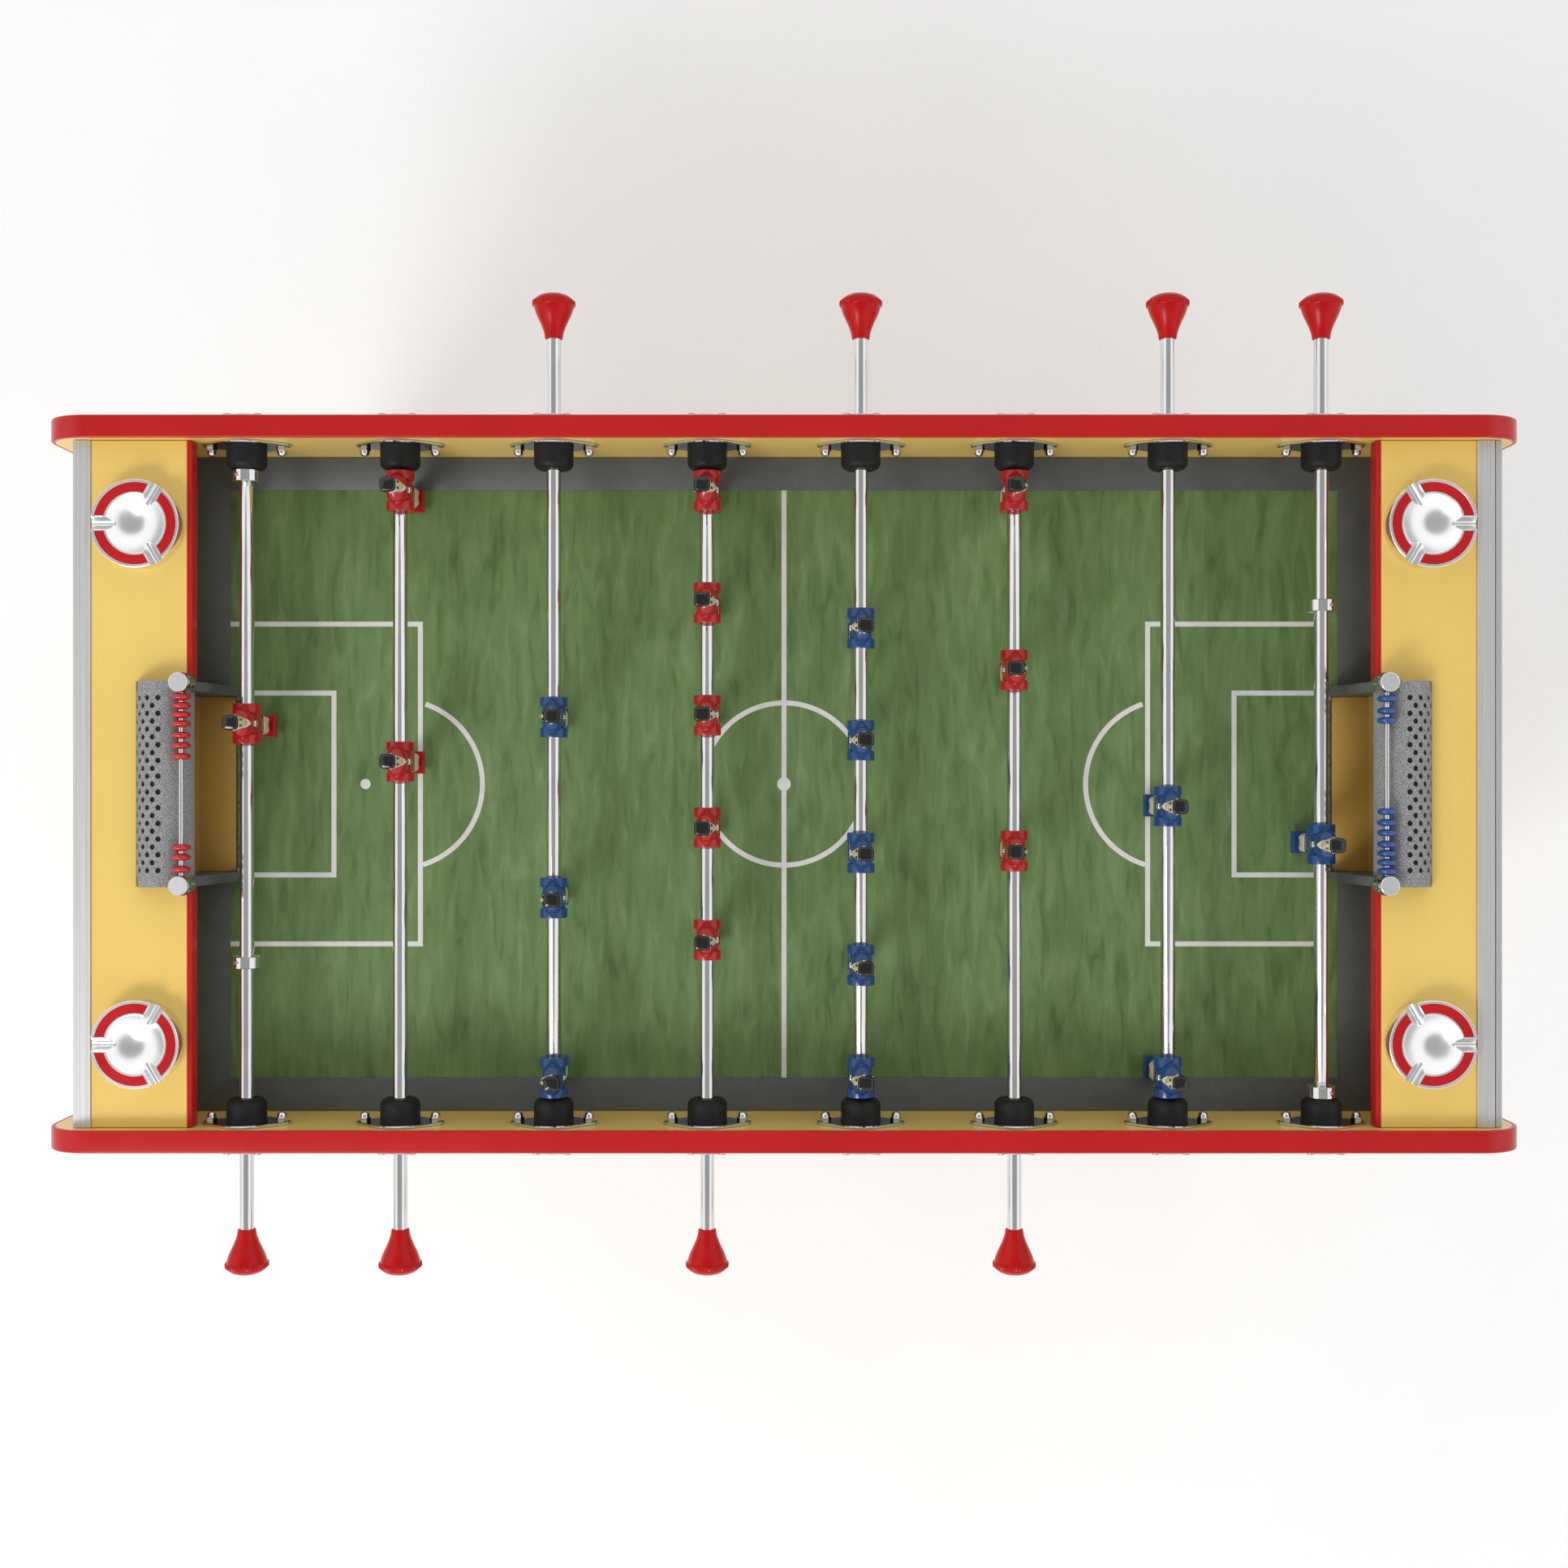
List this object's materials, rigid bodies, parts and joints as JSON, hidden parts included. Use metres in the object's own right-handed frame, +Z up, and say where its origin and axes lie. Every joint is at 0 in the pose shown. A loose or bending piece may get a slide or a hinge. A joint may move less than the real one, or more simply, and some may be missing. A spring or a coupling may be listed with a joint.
{
  "type": "foosball table",
  "caption": "Foosball table with telescopic rods of cast players, yellow boards with red edges, end shelves with ashtrays, and domed goals below sliding score beads.",
  "frame": {"origin": "on the floor, below the centre of the playing field", "axes": "+X along the field towards the goal the red team shoots at, +Y along the rods towards the blue team's handles, +Z up"},
  "size_m": [1.432, 0.9574, 0.92],
  "materials": {
    "yellow_laminate": "satin laminate",
    "field_green": "matt linoleum on board",
    "goal_grey": "speckled hammer paint",
    "rod_chrome": "polished",
    "rod_steel": "ground",
    "handle_red": "glossy",
    "team_red": "painted",
    "team_blue": "painted",
    "bead_red": "glossy",
    "bead_blue": "glossy",
    "leg_wood": "varnished"
  },
  "bodies": {
    "table": {"side_board_right": "yellow_laminate", "side_board_left": "yellow_laminate", "end_cabinet_front": "yellow_laminate", "end_cabinet_back": "yellow_laminate", "playfield": "field_green", "goal_cage_front": "goal_grey", "goal_cage_back": "goal_grey", "score_rail_front": "bead_blue", "score_rail_back": "bead_red", "leg_frame_front": "leg_wood", "leg_frame_back": "leg_wood"},
    "core_1": {"rod_1_core": "rod_steel"},
    "rod_1": {"rod_1_tube": "rod_chrome", "rod_1_handle": "handle_red", "player_1_1": "team_red"},
    "core_2": {"rod_2_core": "rod_steel"},
    "rod_2": {"rod_2_tube": "rod_chrome", "rod_2_handle": "handle_red", "player_2_1": "team_red", "player_2_2": "team_red"},
    "core_3": {"rod_3_core": "rod_steel"},
    "rod_3": {"rod_3_tube": "rod_chrome", "rod_3_handle": "handle_red", "player_3_1": "team_blue", "player_3_2": "team_blue", "player_3_3": "team_blue"},
    "core_4": {"rod_4_core": "rod_steel"},
    "rod_4": {"rod_4_tube": "rod_chrome", "rod_4_handle": "handle_red", "player_4_1": "team_red", "player_4_2": "team_red", "player_4_3": "team_red", "player_4_4": "team_red", "player_4_5": "team_red"},
    "core_5": {"rod_5_core": "rod_steel"},
    "rod_5": {"rod_5_tube": "rod_chrome", "rod_5_handle": "handle_red", "player_5_1": "team_blue", "player_5_2": "team_blue", "player_5_3": "team_blue", "player_5_4": "team_blue", "player_5_5": "team_blue"},
    "core_6": {"rod_6_core": "rod_steel"},
    "rod_6": {"rod_6_tube": "rod_chrome", "rod_6_handle": "handle_red", "player_6_1": "team_red", "player_6_2": "team_red", "player_6_3": "team_red"},
    "core_7": {"rod_7_core": "rod_steel"},
    "rod_7": {"rod_7_tube": "rod_chrome", "rod_7_handle": "handle_red", "player_7_1": "team_blue", "player_7_2": "team_blue"},
    "core_8": {"rod_8_core": "rod_steel"},
    "rod_8": {"rod_8_tube": "rod_chrome", "rod_8_handle": "handle_red", "player_8_1": "team_blue"},
    "bead_front": {"score_bead_front": "bead_blue"},
    "bead_back": {"score_bead_back": "bead_red"}
  },
  "joints": [
    {"name": "rod_1_spin", "type": "hinge", "parent": "table", "child": "core_1", "pos_m": [-0.525, 0, 0.863], "axis": [0, 1, 0], "range_deg": [-190, 90]},
    {"name": "rod_1_slide", "type": "slide", "parent": "core_1", "child": "rod_1", "axis": [0, -1, 0], "range_m": [0, 0.126]},
    {"name": "rod_2_spin", "type": "hinge", "parent": "table", "child": "core_2", "pos_m": [-0.375, 0, 0.863], "axis": [0, 1, 0], "continuous": true},
    {"name": "rod_2_slide", "type": "slide", "parent": "core_2", "child": "rod_2", "axis": [0, -1, 0], "range_m": [0, 0.308]},
    {"name": "rod_3_spin", "type": "hinge", "parent": "table", "child": "core_3", "pos_m": [-0.225, 0, 0.863], "axis": [0, 1, 0], "continuous": true},
    {"name": "rod_3_slide", "type": "slide", "parent": "core_3", "child": "rod_3", "axis": [0, 1, 0], "range_m": [0, 0.221]},
    {"name": "rod_4_spin", "type": "hinge", "parent": "table", "child": "core_4", "pos_m": [-0.075, 0, 0.863], "axis": [0, 1, 0], "continuous": true},
    {"name": "rod_4_slide", "type": "slide", "parent": "core_4", "child": "rod_4", "axis": [0, -1, 0], "range_m": [0, 0.134]},
    {"name": "rod_5_spin", "type": "hinge", "parent": "table", "child": "core_5", "pos_m": [0.075, 0, 0.863], "axis": [0, 1, 0], "continuous": true},
    {"name": "rod_5_slide", "type": "slide", "parent": "core_5", "child": "rod_5", "axis": [0, 1, 0], "range_m": [0, 0.134]},
    {"name": "rod_6_spin", "type": "hinge", "parent": "table", "child": "core_6", "pos_m": [0.225, 0, 0.863], "axis": [0, 1, 0], "continuous": true},
    {"name": "rod_6_slide", "type": "slide", "parent": "core_6", "child": "rod_6", "axis": [0, -1, 0], "range_m": [0, 0.221]},
    {"name": "rod_7_spin", "type": "hinge", "parent": "table", "child": "core_7", "pos_m": [0.375, 0, 0.863], "axis": [0, 1, 0], "continuous": true},
    {"name": "rod_7_slide", "type": "slide", "parent": "core_7", "child": "rod_7", "axis": [0, 1, 0], "range_m": [0, 0.308]},
    {"name": "rod_8_spin", "type": "hinge", "parent": "table", "child": "core_8", "pos_m": [0.525, 0, 0.863], "axis": [0, 1, 0], "range_deg": [-90, 190]},
    {"name": "rod_8_slide", "type": "slide", "parent": "core_8", "child": "rod_8", "axis": [0, 1, 0], "range_m": [0, 0.126]},
    {"name": "bead_front_slide", "type": "slide", "parent": "table", "child": "bead_front", "axis": [0, 1, 0], "range_m": [0, 0.079]},
    {"name": "bead_back_slide", "type": "slide", "parent": "table", "child": "bead_back", "axis": [0, -1, 0], "range_m": [0, 0.079]}
  ]
}
